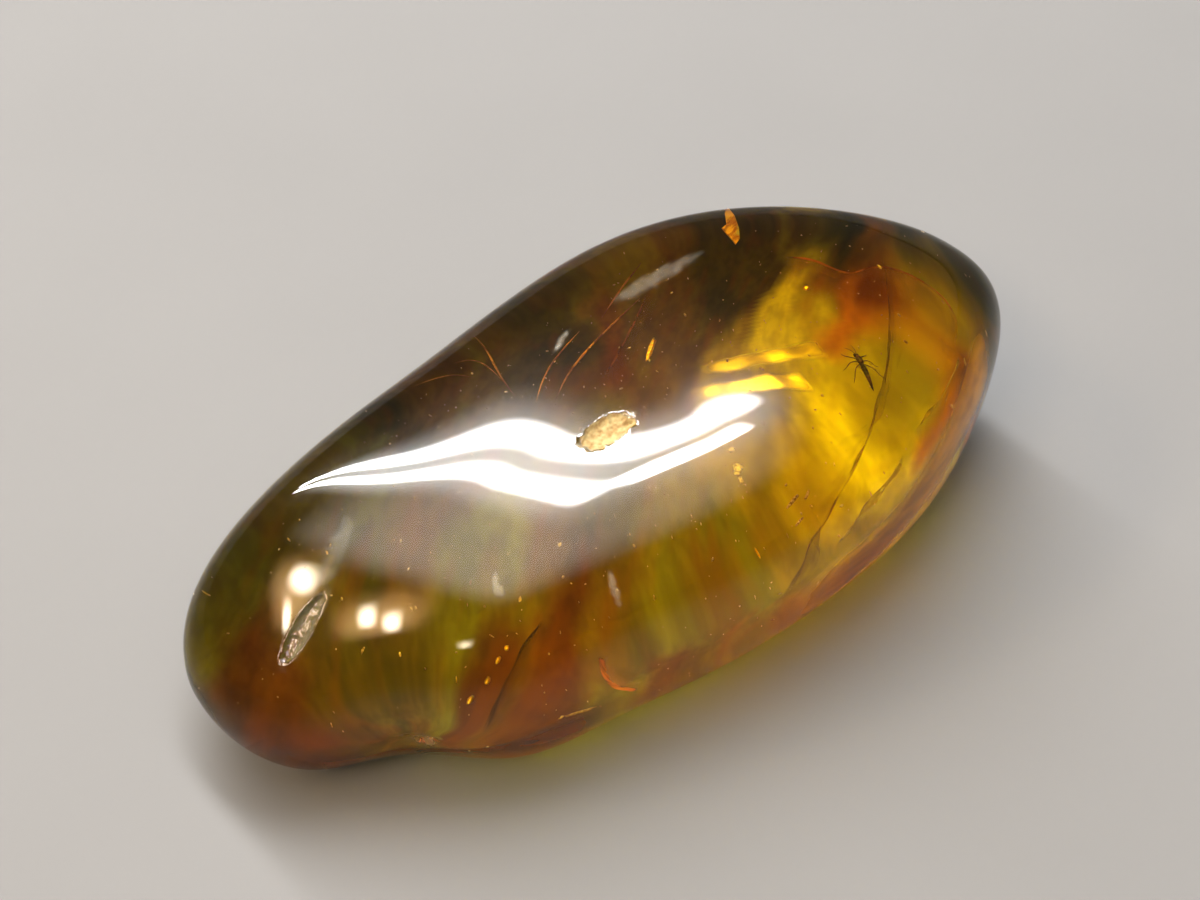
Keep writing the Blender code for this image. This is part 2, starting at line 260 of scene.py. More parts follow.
# ---------------------------------------------------------------- node helpers
class Nodes:
    """A node tree with short ways to add, join and measure."""

    def __init__(self, tree):
        self.tree = tree

    def add(self, kind, **settings):
        node = self.tree.nodes.new("ShaderNode" + kind)
        for key, value in settings.items():
            setattr(node, key, value)
        return node

    def feed(self, value, socket):
        """Join another node's output to a socket, or set the socket to a number or colour."""
        if isinstance(value, bpy.types.NodeSocket):
            self.tree.links.new(value, socket)
        elif isinstance(value, tuple) and socket.type == "RGBA":
            socket.default_value = (*value, 1.0)
        else:
            socket.default_value = value

    def fill(self, node, **values):
        """Feed a node's sockets by name, with _ for a space."""
        for key, value in values.items():
            self.feed(value, node.inputs[key.replace("_", " ")])

    def result(self, node, *values):
        """A node's first output, once its first sockets are fed."""
        for value, socket in zip(values, node.inputs):
            self.feed(value, socket)
        return node.outputs[0]

    def times(self, one, other):
        return self.result(self.add("Math", operation="MULTIPLY"), one, other)

    def most(self, one, other):
        return self.result(self.add("Math", operation="MAXIMUM"), one, other)

    def scaled(self, vector, scale):
        node = self.add("VectorMath", operation="SCALE")
        self.fill(node, Vector=vector, Scale=scale)
        return node.outputs[0]

    def axes(self, vector):
        """A vector's X, Y and Z."""
        node = self.add("SeparateXYZ")
        self.fill(node, Vector=vector)
        return tuple(node.outputs)

    def range(self, value, low, high, to_low=0.0, to_high=1.0, smooth=True):
        """The value's range from low to high, stretched to another range."""
        node = self.add("MapRange", interpolation_type="SMOOTHSTEP" if smooth else "LINEAR")
        return self.result(node, value, low, high, to_low, to_high)

    def between(self, value, rise, fall):
        """0 at 0, 1 from rise to fall and 0 again at 1."""
        return self.times(self.range(value, 0.0, rise), self.range(value, fall, 1.0, 1.0, 0.0))

    def mix(self, amount, under, over):
        """One colour laid over another."""
        node = self.add("Mix", data_type="RGBA")
        self.feed(amount, node.inputs["Factor"])
        self.feed(under, node.inputs[6])
        self.feed(over, node.inputs[7])
        return node.outputs[2]

    def blend(self, share, under, over):
        """One shader laid over another."""
        return self.result(self.add("MixShader"), share, under, over)

    def mark(self, name, output="Fac"):
        """A value or colour that the mesh carries at its points."""
        return self.add("Attribute", attribute_name=name).outputs[output]

    def place(self):
        """The surface point in millimetres."""
        return self.scaled(self.add("TexCoord").outputs["Object"], 1.0 / MM)

    def along_and_down(self):
        """A band's own shares: along its length, and down from its upper edge."""
        return self.axes(self.add("TexCoord").outputs["UV"])[:2]

    def noise(self, place, size, detail=2.0, stretch=(1.0, 1.0, 1.0)):
        """Noise of a cell size in millimetres, drawn out along stretch."""
        drawn = self.result(self.add("VectorMath", operation="DIVIDE"), place, stretch)
        node = self.add("TexNoise")
        self.fill(node, Vector=drawn, Scale=1.0 / size, Detail=detail, Roughness=NOISE_ROUGHNESS)
        return node.outputs["Fac"]

    def patches(self, place, size, low, high, **more):
        """0 to 1 patches of noise: more of them the lower the two limits are."""
        return self.range(self.noise(place, size, **more), low, high)

    def bump(self, height, distance):
        """A normal for small relief, its depth in millimetres."""
        node = self.add("Bump")
        self.fill(node, Height=height, Distance=distance * MM)
        return node.outputs[0]


class Material(Nodes):
    """A new material's nodes round its main shader."""

    def __init__(self, name):
        self.material = bpy.data.materials.new(name)
        self.material.use_nodes = True
        super().__init__(self.material.node_tree)
        self.surface = self.tree.nodes["Principled BSDF"]
        self.output = self.tree.nodes["Material Output"]

    def set(self, **values):
        """Feed the main shader's sockets by name."""
        self.fill(self.surface, **values)

    def show(self, shader):
        self.fill(self.output, Surface=shader)

    def see_through(self, cover):
        """Show the main shader only where cover is 1, and clear resin where it is 0."""
        clear = self.add("BsdfTransparent").outputs[0]
        self.show(self.blend(cover, clear, self.surface.outputs[0]))
        self.material.use_transparent_shadow = False


# ---------------------------------------------------------------- the resin
IOR_AMBER = 1.54
ABSORB_COLOUR = (0.95, 0.89, 0.02)
ABSORB_DENSITY = 215.0
POLISHED_ROUGHNESS = 0.012
FROSTED_ROUGHNESS = 0.6
FROSTED_CLEARNESS = 0.5
CLEAR_RESIN = (1.0, 0.97, 0.85)
WARM_RESIN = (0.9, 0.6, 0.3)
FROSTED_RESIN = (0.52, 0.41, 0.18)

OLIVE = (0.19, 0.205, 0.013)
DEEP_OLIVE = (0.085, 0.082, 0.008)
# painted shade: the dark green-grey of the far right edge
PAINTED_SHADE_GREEN = (0.040, 0.052, 0.012)
GOLD = (0.47, 0.41, 0.014)
# painted light: the glow where light focuses through the right end
PAINTED_LIGHT_GOLD = (0.98, 0.99, 0.018)
ORANGE = (0.66, 0.29, 0.006)
RUST = (0.23, 0.075, 0.005)
DARK_RUST = (0.11, 0.040, 0.006)
BROWN = (0.17, 0.115, 0.010)

FLOW_TURN = 23.0  # degrees from the nugget's length to the way its resin flowed
FLOW_STREAK = (0.30, 0.10, 0.006)

# Colour zones in the cloudy layer: middle x and y, reach along and across the flow, colour, amount.
# The brightest gold zones are painted light, where light focuses through the right end; the dark green
# zones at the far right end are painted shade.
CLOUD_ZONES = (
    (-13.5, 4.4, 4.0, 1.9, DEEP_OLIVE, 0.80),
    (-19.0, 5.0, 4.5, 2.2, DARK_RUST, 0.90),
    (-12.5, 7.9, 4.0, 1.6, OLIVE, 0.60),
    (-8.2, 5.6, 3.6, 1.2, BROWN, 0.80),
    (-8.1, 3.6, 2.4, 0.9, OLIVE, 0.80),
    (-9.6, 1.3, 2.8, 1.1, DARK_RUST, 0.90),
    (-6.3, 0.4, 3.2, 1.0, DARK_RUST, 0.90),
    (-7.8, -1.3, 3.2, 1.2, DARK_RUST, 0.90),
    (-3.9, 0.1, 2.0, 0.8, BROWN, 0.85),
    (-2.4, -1.7, 2.6, 0.8, DARK_RUST, 0.80),
    (-0.2, 0.4, 1.8, 0.9, OLIVE, 0.80),
    (2.4, -0.4, 1.5, 0.5, RUST, 0.55),
    (4.1, 0.3, 2.4, 0.9, OLIVE, 0.90),
    (5.6, -0.9, 1.8, 0.6, RUST, 0.50),
    (9.0, 0.0, 2.6, 0.7, GOLD, 0.70),
    (13.2, 0.7, 2.6, 0.9, PAINTED_LIGHT_GOLD, 0.95),
    (0.0, 8.2, 3.5, 1.2, BROWN, 0.80),
    (-3.2, 3.6, 2.8, 1.0, BROWN, 0.70),
    (7.2, 2.0, 2.8, 1.0, GOLD, 0.80),
    (4.5, 8.9, 5.0, 1.1, DEEP_OLIVE, 0.80),
    (5.6, 6.9, 2.4, 0.8, RUST, 0.70),
    (9.6, 6.9, 4.0, 1.2, BROWN, 0.85),
    (11.0, 4.1, 2.2, 0.9, GOLD, 0.90),
    (16.4, 1.2, 2.2, 0.9, PAINTED_LIGHT_GOLD, 0.60),
    (15.6, 2.0, 1.2, 0.5, ORANGE, 0.90),
    (17.4, 2.3, 1.6, 0.8, ORANGE, 0.95),
    (14.4, 3.2, 2.6, 1.1, PAINTED_LIGHT_GOLD, 1.00),
    (17.8, 2.0, 0.8, 0.5, RUST, 0.80),
    (13.6, 6.6, 3.2, 1.2, DEEP_OLIVE, 0.95),
    (15.8, 5.9, 1.8, 0.9, DEEP_OLIVE, 0.90),
    # painted shade along the far right edge
    (17.6, 5.0, 1.4, 1.0, PAINTED_SHADE_GREEN, 0.97),
    (18.7, 4.2, 1.4, 1.0, PAINTED_SHADE_GREEN, 0.97),
    (19.7, 3.1, 1.5, 1.1, PAINTED_SHADE_GREEN, 0.97),
    (20.3, 1.7, 1.1, 1.0, PAINTED_SHADE_GREEN, 0.95),
    (20.6, 0.9, 0.9, 1.0, PAINTED_SHADE_GREEN, 0.90),
)

# The cloudy layer.
CLOUD_GRID = (150, 76, 76)
CLOUD_SIZE = 0.93  # of the nugget's
CLOUD_WAVER = 0.05  # of its own, which its waves take away at the middle of their range
CLOUD_TOP = (0.15, 0.0)  # how far a direction points up where the cover ends, and where it is whole
CLOUD_FADE = (10.0, 5.0)  # the heights, in millimetres, where the cover ends and where it is whole
CLOUD_NEAR = (0.05, 0.3)  # where the cover starts to fade towards the near wall, and over how much
LEAST_COVER = 0.01

# Where the cloudy layer opens, in millimetres: middle, reach and the share of cover left there.
CLOUD_OPENINGS = (
    ((16.5, -1.5, 1.5), (4.0, 2.6, 3.5), 0.30),
    ((11.0, -3.5, 0.5), (4.0, 2.2, 2.0), 0.45),
)

# Stains in the outer resin and painted shade, in millimetres: middle, reach, colour and how much of it.
STAINS_AND_SHADE = (
    # painted shade: near-black green-grey over the far wall
    ((10.0, 10.0, 6.0), (17.0, 3.6, 8.0), (0.05, 0.052, 0.02), 0.95),
    ((19.0, 7.0, 6.0), (6.0, 4.2, 9.0), (0.06, 0.065, 0.02), 0.95),
    ((3.0, -11.5, 2.5), (22.0, 4.0, 4.0), (0.80, 0.32, 0.03), 0.9),
    ((22.0, -5.5, 4.0), (5.0, 6.0, 6.0), (1.0, 0.55, 0.05), 0.9),
    ((-21.5, -3.0, 3.0), (5.0, 9.0, 4.0), (0.60, 0.24, 0.04), 0.9),
    # painted shade at the far right end
    ((20.4, 2.6, 3.2), (2.2, 2.4, 2.6), (0.06, 0.07, 0.02), 0.95),
)

# Worn spots on the polished face: middle, reach, turn in degrees and how frosted.
WORN_SPOTS = (
    ((-3.8, -2.3, 14.6), (1.5, 0.7, 1.0), (0.0, 0.0, -3.0), 0.62),
    ((-19.9, 0.5, 10.4), (1.9, 0.50, 1.5), (0.0, -40.0, 9.0), 0.20),
    ((-16.7, 1.9, 12.2), (1.7, 0.45, 1.5), (0.0, -20.0, 28.0), 0.11),
    ((4.4, 3.2, 16.0), (2.3, 0.42, 1.5), (0.0, 0.0, -6.0), 0.15),
    ((-1.6, 3.5, 15.2), (0.7, 0.12, 1.0), (0.0, 0.0, 22.0), 0.30),
    ((-16.9, -4.2, 3.9), (0.6, 0.5, 0.8), (0.0, 0.0, 0.0), 0.60),
    ((-12.4, -4.6, 12.2), (0.5, 0.12, 1.0), (0.0, 0.0, 70.0), 0.40),
    ((-7.9, -7.7, 11.1), (0.6, 0.14, 1.5), (0.0, 0.0, 80.0), 0.40),
)


def eased(value, low, high):
    """0 up to low, 1 from high on and smooth between."""
    share = np.clip((value - low) / (high - low), 0.0, 1.0)
    return share * share * (3.0 - 2.0 * share)


def laid_over(colours, share, tint):
    """A colour laid over others by a share at each point."""
    return colours * (1.0 - share[:, None]) + np.array(tint) * share[:, None]


def spin_of(turn, order="XYZ"):
    """The matrix of a turn in degrees."""
    return Euler([math.radians(angle) for angle in turn], order).to_matrix()


def shares_out(points, centre, reach):
    """How far each point is from a middle, as shares of a reach."""
    return np.linalg.norm((points - np.array(centre)) / np.array(reach), axis=1)


def worn_shares(points):
    """How frosted each point of the surface is, from the list of worn spots."""
    shares = np.zeros(len(points))
    for centre, reach, turn, amount in WORN_SPOTS:
        apart = (points - np.array(centre)) @ np.array(spin_of(turn)) / np.array(reach)
        for i in np.nonzero((np.abs(apart) < 2.0).all(axis=1))[0]:
            spot = Vector(points[i])
            ragged = 0.30 * noise.noise(spot * 2.2) + 0.15 * noise.noise(spot * 6.0)
            out = np.linalg.norm(apart[i]) + ragged
            shares[i] = max(shares[i], amount * eased(out, 1.25, 0.75))
    return shares


def stain_and_shade_colours(points):
    """The outer resin's colour at each point: nearly clear, then the stains and the painted shade over it.
    """
    colours = np.tile(np.array(CLEAR_RESIN), (len(points), 1))
    for centre, reach, tint, amount in STAINS_AND_SHADE:
        share = amount * eased(shares_out(points, centre, reach), 1.35, 0.65)
        colours = laid_over(colours, share, tint)
    return colours


def mark_colours(mesh, name, colours):
    layer = mesh.attributes.new(name, "FLOAT_COLOR", "POINT")
    padded = np.ones((len(colours), 4), np.float32)
    padded[:, :3] = colours
    layer.data.foreach_set("color", padded.ravel())


def mark_values(mesh, name, values):
    layer = mesh.attributes.new(name, "FLOAT", "POINT")
    layer.data.foreach_set("value", values.astype(np.float32))


def amber_material():
    """Clear amber: plain transmission and absorption, a soft polish and a few frosted spots."""
    made = Material("amber_clear")
    tone = made.noise(made.place(), 0.5)
    frosted = made.times(made.mark("worn"), made.range(tone, 0.35, 0.65, 0.6, 1.0))
    # the stains, with the painted shade of the far wall
    tint = made.mix(made.range(tone, 0.4, 0.7, 0.0, 0.10), made.mark("stain_and_shade", "Color"), WARM_RESIN)
    roughness = made.range(frosted, 0.0, 1.0, POLISHED_ROUGHNESS, FROSTED_ROUGHNESS, smooth=False)
    made.set(
        Base_Color=made.mix(frosted, tint, FROSTED_RESIN),
        Roughness=roughness,
        IOR=IOR_AMBER,
        Transmission_Weight=made.range(frosted, 0.0, 1.0, 1.0, FROSTED_CLEARNESS, smooth=False),
        Coat_Weight=0.08,
        Coat_Roughness=0.22,
        Coat_IOR=1.5,
    )
    absorb = made.result(made.add("VolumeAbsorption"), ABSORB_COLOUR, ABSORB_DENSITY)
    made.fill(made.output, Volume=absorb)
    return made.material


def turned_to_flow(points):
    """Points with their first axis along the resin's flow."""
    turn = math.radians(FLOW_TURN)
    ahead = points[:, 0] * math.cos(turn) + points[:, 1] * math.sin(turn)
    across = points[:, 1] * math.cos(turn) - points[:, 0] * math.sin(turn)
    return np.stack([ahead, across, points[:, 2] * 0.7], axis=1)


def drift(points, size, stretch, seed):
    """Noise of about -0.5 to 0.5 at each point, drawn out along the flow."""
    spots = turned_to_flow(points) / np.array((stretch, 1.0, 1.0)) / size + seed * 7.3
    return np.array([noise.fractal(Vector(spot), 1.0, 2.0, 3) for spot in spots])


def cloud_tints(points):
    """The cloudy layer's colour at each point: drifts of olive, gold and brown, gold to the right as
    painted light, then its zones.
    """
    push = [drift(points, 2.2, 2.0, seed) for seed in (3, 4)]
    loose = points + 1.1 * np.stack([*push, np.zeros(len(points))], axis=1)
    # partly the resin's gold, partly painted light: gold grows towards the right end, where light focuses
    lit_rightward = eased(points[:, 0], -6.0, 9.0)
    golden = eased(drift(points, 4.5, 2.2, 1), -0.15, 0.35)
    colours = np.tile(np.array(DEEP_OLIVE), (len(points), 1))
    colours = laid_over(colours, golden * (1.0 - lit_rightward), OLIVE)
    colours = laid_over(colours, (0.5 + 0.5 * golden) * lit_rightward, GOLD)
    colours = laid_over(colours, eased(drift(points, 3.0, 2.6, 2), 0.0, 0.4), BROWN)
    spots = turned_to_flow(loose)
    for x, y, ahead, across, tint, amount in CLOUD_ZONES:
        middle = turned_to_flow(np.array([(x, y, 0.0)]))[0]
        out = np.hypot((spots[:, 0] - middle[0]) / ahead, (spots[:, 1] - middle[1]) / across)
        colours = laid_over(colours, amount * eased(out, 1.5, 0.5), tint)
    return colours


def cloud_material():
    """Cloudy resin in its tints, with painted light and shade among them, streaked and grainy, and clear
    where its cover ends.
    """
    made = Material("cloud_outer")
    turned = made.add("Mapping")
    made.fill(turned, Vector=made.place(), Rotation=(0.0, 0.0, -math.radians(FLOW_TURN)))
    flow = turned.outputs[0]
    cloud = made.noise(flow, 2.4, stretch=(2.4, 1.0, 1.0))
    grain = made.noise(flow, 0.42, detail=1.0, stretch=(1.8, 1.0, 1.0))
    streaks = made.patches(flow, 0.7, 0.48, 0.8, stretch=(5.0, 1.0, 1.5), detail=1.0)
    light = made.times(made.range(cloud, 0.3, 0.7, 1.2, 0.8), made.range(grain, 0.3, 0.7, 0.89, 1.11))
    tint = made.scaled(made.mark("tint", "Color"), light)
    colour = made.mix(made.times(streaks, 0.26), tint, FLOW_STREAK)
    made.set(Base_Color=colour, Roughness=0.6, Specular_IOR_Level=0.0)
    made.see_through(made.mark("cover"))
    return made.material


def pit_material():
    """The worn pit's rough floor: golden brown powder in two tones of random patches."""
    made = Material("amber_pit")
    place = made.place()
    tone = made.patches(place, 0.35, 0.38, 0.66, detail=4.0)
    made.set(
        Base_Color=made.mix(tone, (0.38, 0.30, 0.15), (0.27, 0.18, 0.08)),
        Roughness=0.75,
        Specular_IOR_Level=0.12,
        Normal=made.bump(made.noise(place, 0.18), 0.015),
    )
    return made.material


def mark_pit_floor(mesh):
    """Give the faces inside the top pits the second material."""
    for face in mesh.polygons:
        spot = face.center / MM - Vector(SHIFT)
        if any(in_pit(spot, pit, face.normal) < PIT_FLOOR for pit in PITS[:2]):
            face.material_index = 1


def placed(name, data):
    """A new object in the scene that shows a mesh, lamp or camera."""
    piece = bpy.data.objects.new(name, data)
    bpy.context.scene.collection.objects.link(piece)
    return piece


def add_piece(name, mesh, material):
    mesh.materials.append(material)
    piece = placed(name, mesh)
    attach(piece, "root")
    return piece


def mesh_of(name, points, faces):
    """A smooth mesh from points in millimetres."""
    mesh = bpy.data.meshes.new(name)
    mesh.from_pydata([tuple(float(c) * MM for c in p) for p in points], [], faces)
    mesh.shade_smooth()
    mesh.validate()
    return mesh


def joined(parts):
    """Several lists of points and faces as one."""
    points = []
    faces = []
    for more, sides in parts:
        faces += [[i + len(points) for i in side] for side in sides]
        points += list(more)
    return points, faces


def grid_faces(steps, rows):
    """The faces of a sheet whose points come row by row along its steps."""
    faces = []
    for i in range(steps):
        for j in range(rows):
            first = i * (rows + 1) + j
            faces.append((first, first + rows + 1, first + rows + 2, first + 1))
    return faces


def cloud_cover(ways, spots):
    """How much the cloudy layer covers at each of its points."""
    up = ways[:, 2]
    cover = eased(up, *CLOUD_TOP) * eased(spots[:, 2], *CLOUD_FADE)
    start, width = CLOUD_NEAR
    cover *= 1.0 - np.clip((0.5 * up - ways[:, 1] - start) / width, 0.0, 1.0)
    for centre, reach, share in CLOUD_OPENINGS:
        cover *= 1.0 + (share - 1.0) * eased(shares_out(spots, centre, reach), 1.4, 0.6)
    return cover


def cloud_mesh():
    """A wavering layer that follows the nugget's underside and sides at a share of its size."""
    ways, faces = ball_grid(CLOUD_GRID)
    middle = spine(ways[:, 0], CLOUD_SIZE)
    spots = middle + (nugget_form(ways) - middle) * CLOUD_SIZE
    for i in range(len(ways)):
        roll = noise.noise(Vector(spots[i]) * 0.22 + Vector((7.0 * CLOUD_SIZE, 0, 0)))
        spots[i] -= (spots[i] - middle[i]) * CLOUD_WAVER * (0.5 + roll)
    spots += SHIFT
    cover = cloud_cover(ways, spots)
    kept = [face for face in faces if max(cover[i] for i in face) > LEAST_COVER]
    used = sorted({i for face in kept for i in face})
    renumber = {was: now for now, was in enumerate(used)}
    mesh = mesh_of("cloud_outer", spots[used], [[renumber[i] for i in face] for face in kept])
    mark_values(mesh, "cover", cover[used])
    mark_colours(mesh, "tint", cloud_tints(spots[used]))
    return mesh


# ---------------------------------------------------------------- flow lines
# Each band of resin: its colour, cover at its upper edge, cover of the rest and the upper edge's
# share; then its upper and its lower edge, as points (x, y, z) in millimetres.
FLOW_BANDS = {
    "flow_dark_right": (
        ((0.26, 0.080, 0.010), 0.60, 0.40, 0.24),
        ((16.8, 0.6, 8.0), (15.7, -0.9, 8.0), (13.7, -2.8, 8.0), (11.7, -4.1, 8.0), (9.7, -5.4, 8.0),
         (7.9, -5.4, 6.5), (6.3, -4.7, 5.0), (4.7, -4.3, 4.0), (1.9, -4.7, 2.6)),
        ((18.6, 2.3, 2.0), (18.0, 1.7, 2.0), (16.8, 0.8, 2.0), (15.3, 0.2, 2.0), (13.8, -0.3, 2.0),
         (11.9, -0.1, 1.5), (10.1, 0.0, 1.3), (8.2, -0.2, 1.2), (4.6, -2.1, 0.9)),
    ),
    "fissure_left": (
        ((0.045, 0.016, 0.008), 0.75, 0.45, 0.35),
        ((-9.8, -4.3, 8.0), (-10.8, -4.7, 8.0), (-11.9, -5.1, 8.0), (-12.5, -5.0, 7.0), (-12.8, -4.7, 6.0),
         (-13.2, -4.6, 5.0), (-13.9, -4.8, 4.0)),
        ((-6.9, -0.8, 3.0), (-7.9, -1.1, 3.0), (-8.9, -1.5, 3.0), (-9.7, -1.6, 2.5), (-10.0, -1.5, 2.0),
         (-10.3, -1.5, 1.5), (-10.4, -1.6, 1.0)),
    ),
    "flow_orange_far": (
        ((0.85, 0.33, 0.01), 0.95, 0.42, 0.09),
        ((14.3, 4.1, 6.0), (14.9, 3.3, 6.0), (15.3, 2.5, 6.0), (15.7, 1.2, 6.0), (16.6, 1.1, 6.0),
         (17.3, 0.4, 6.0), (17.8, -0.4, 6.0), (17.9, -1.0, 6.0), (17.4, -1.6, 6.0), (16.6, -2.1, 6.0)),
        ((14.6, 4.4, 2.0), (15.0, 3.6, 2.0), (15.5, 2.9, 2.0), (16.0, 1.9, 2.0), (16.8, 1.8, 2.0),
         (17.3, 1.4, 2.0), (17.5, 1.3, 2.0), (17.4, 1.1, 2.0), (17.2, 1.1, 2.0), (16.7, 0.8, 2.0)),
    ),
    "flow_orange_middle": (
        ((0.80, 0.30, 0.02), 0.60, 0.20, 0.15),
        ((6.4, 5.6, 9.0), (5.3, 5.0, 9.0), (3.7, 4.2, 9.0), (2.0, 3.4, 9.0), (0.3, 2.8, 9.0)),
        ((8.7, 6.6, 5.0), (7.3, 5.9, 5.0), (5.8, 5.2, 5.0), (4.0, 4.4, 5.0), (2.2, 3.8, 5.0)),
    ),
    "flow_red_near": (
        ((1.0, 0.30, 0.015), 0.85, 0.45, 0.45),
        ((-7.0, -3.6, 4.0), (-7.4, -4.2, 4.0), (-7.8, -5.2, 4.0), (-7.7, -6.5, 4.0), (-7.1, -8.3, 4.0)),
        ((-4.7, -0.9, 1.5), (-5.0, -1.1, 1.5), (-5.0, -1.5, 1.5), (-4.7, -1.9, 1.5), (-3.9, -2.7, 1.5)),
    ),
    "flow_gold_end": (
        ((1.0, 0.78, 0.03), 0.75, 0.40, 0.30),
        ((16.3, -3.9, 8.0), (14.6, -4.9, 8.0), (13.4, -4.6, 7.0), (12.5, -3.3, 5.0)),
        ((17.2, 0.3, 3.0), (16.1, -0.2, 3.0), (15.0, -0.3, 2.5), (13.6, -0.4, 2.0)),
    ),
    "flow_gold_near": (
        ((1.0, 0.80, 0.04), 0.55, 0.30, 0.40),
        ((11.5, -4.6, 6.0), (10.0, -4.7, 5.5), (8.1, -4.8, 5.0), (6.7, -4.2, 4.0)),
        ((13.0, -0.6, 2.0), (11.4, -0.6, 1.8), (9.6, -0.6, 1.5), (7.9, -0.4, 1.2)),
    ),
}

BAND_STEPS = 60
BAND_ROWS = 10
BAND_WAVER = 0.10

# The rims, a painted glow on the right and a stain on the left: colour, cover and how far each reaches
# above its middle; then its middle as shares of the nugget's half-length and heights.
RIM_BANDS = {
    "painted_glow_rim_right": (
        # painted glow: bright orange light focused into the near wall at the right end
        ((1.0, 0.48, 0.008), 1.00, 2.6),
        ((-0.02, 4.2), (0.18, 5.6), (0.35, 6.6), (0.52, 9.0), (0.66, 10.0), (0.80, 10.0)),
    ),
    "flow_rim_left": (
        ((0.34, 0.09, 0.005), 0.75, 0.9),
        ((-0.95, 4.6), (-0.86, 3.4), (-0.72, 2.2), (-0.60, 2.6), (-0.47, 5.0), (-0.22, 4.6)),
    ),
}
RIM_SHARE = 0.965  # of the way from the middle to the wall
RIM_BELOW = 2.6  # millimetres that a rim reaches below its middle
WALL_TURNS = np.radians(np.linspace(-75.0, 75.0, 301))


def near_wall(s, height):
    """The point of the near wall, a little inside, at a share of the length and a height."""
    slant = math.sqrt(1.0 - s * s)
    level = np.full(len(WALL_TURNS), s)
    ways = np.stack([level, -np.cos(WALL_TURNS) * slant, np.sin(WALL_TURNS) * slant], axis=1)
    middle = spine(s)
    inner = middle + (nugget_form(ways) - middle) * RIM_SHARE
    best = int(np.argmin(np.abs(inner[:, 2] - height)))
    return tuple(inner[best] + SHIFT)


def rim_edges(above, stations):
    """The upper and lower edges of a rim band."""
    upper = [near_wall(s, height + above) for s, height in stations]
    lower = [near_wall(s, height - RIM_BELOW) for s, height in stations]
    return upper, lower


def band_mesh(name, upper, lower, rows=BAND_ROWS):
    """A smooth band between two edges; its UV runs along it and from the upper edge down."""
    places = np.linspace(-1.0, 1.0, BAND_STEPS + 1)
    points = []
    for high, low in zip(curve(upper, places), curve(lower, places)):
        for j in range(rows + 1):
            spot = high + (low - high) * j / rows
            points.append(spot + BAND_WAVER * np.array(noise.noise_vector(Vector(spot) * 0.8)))
    mesh = mesh_of(name, points, grid_faces(BAND_STEPS, rows))
    layer = mesh.uv_layers.new(name="band")
    for loop in mesh.loops:
        step, row = divmod(loop.vertex_index, rows + 1)
        layer.data[loop.index].uv = (step / BAND_STEPS, row / rows)
    return mesh


def stain_and_glow_tones(name, colour, dark, patch, roughness, gloss, **more):
    """A material in two tones of one colour: the darker one's share, and the size of its patches."""
    made = Material(name)
    tone = made.patches(made.place(), patch, 0.35, 0.7, **more)
    made.set(
        Base_Color=made.mix(tone, colour, tuple(dark * c for c in colour)),
        Roughness=roughness,
        Specular_IOR_Level=gloss,
    )
    return made


def rim_material(name, colour, cover):
    """A rim band, for the left rim's stain and the right rim's painted glow: deepest halfway down, fading
    upwards, downwards and at both ends.
    """
    made = stain_and_glow_tones(name, colour, 0.7, 1.6, 0.6, 0.0, stretch=(2.5, 1.0, 1.0))
    run, down = made.along_and_down()
    shape = made.times(made.between(run, 0.25, 0.8), made.between(down, 0.45, 0.7))
    made.see_through(made.times(shape, cover))
    return made.material


def band_material(name, colour, edge_cover, cover, edge_share):
    """A stained band: strong at its upper edge, fading downwards and at both ends."""
    made = stain_and_glow_tones(name, colour, 0.55, 1.2, 0.5, 0.1)
    run, down = made.along_and_down()
    edge = made.times(made.range(down, edge_share * 0.4, edge_share, 1.0, 0.0), edge_cover)
    rest = made.times(made.range(down, 0.0, 1.0, 1.0, 0.0), cover)
    shape = made.times(made.most(edge, rest), made.between(run, 0.12, 0.86))
    wisps = made.noise(made.place(), 0.9, stretch=(1.0, 1.0, 2.5))
    made.see_through(made.times(shape, made.range(wisps, 0.3, 0.6, 0.45, 1.0)))
    return made.material


# ---------------------------------------------------------------- small things sealed in
def blob(centre, reach, turn, seed, ragged=0.25, rings=2):
    """A small rough lump: points and faces, in millimetres; turn is in degrees."""
    shape = bmesh.new()
    bmesh.ops.create_icosphere(shape, subdivisions=rings, radius=1.0)
    spin = spin_of(turn)
    points = []
    for vertex in shape.verts:
        out = 1.0 + ragged * noise.noise(vertex.co * 1.7 + Vector((seed * 3.1, 0.0, 0.0)))
        spot = Vector([c * r * out for c, r in zip(vertex.co, reach)])
        points.append(spin @ spot + Vector(centre))
    faces = [[v.index for v in f.verts] for f in shape.faces]
    shape.free()
    return points, faces


def blobs_mesh(name, items, ragged=0.25, rings=2):
    """Many small lumps in one mesh; each item is middle, reach and turn."""
    lumps = [blob(*item, seed, ragged, rings) for seed, item in enumerate(items)]
    return mesh_of(name, *joined(lumps))


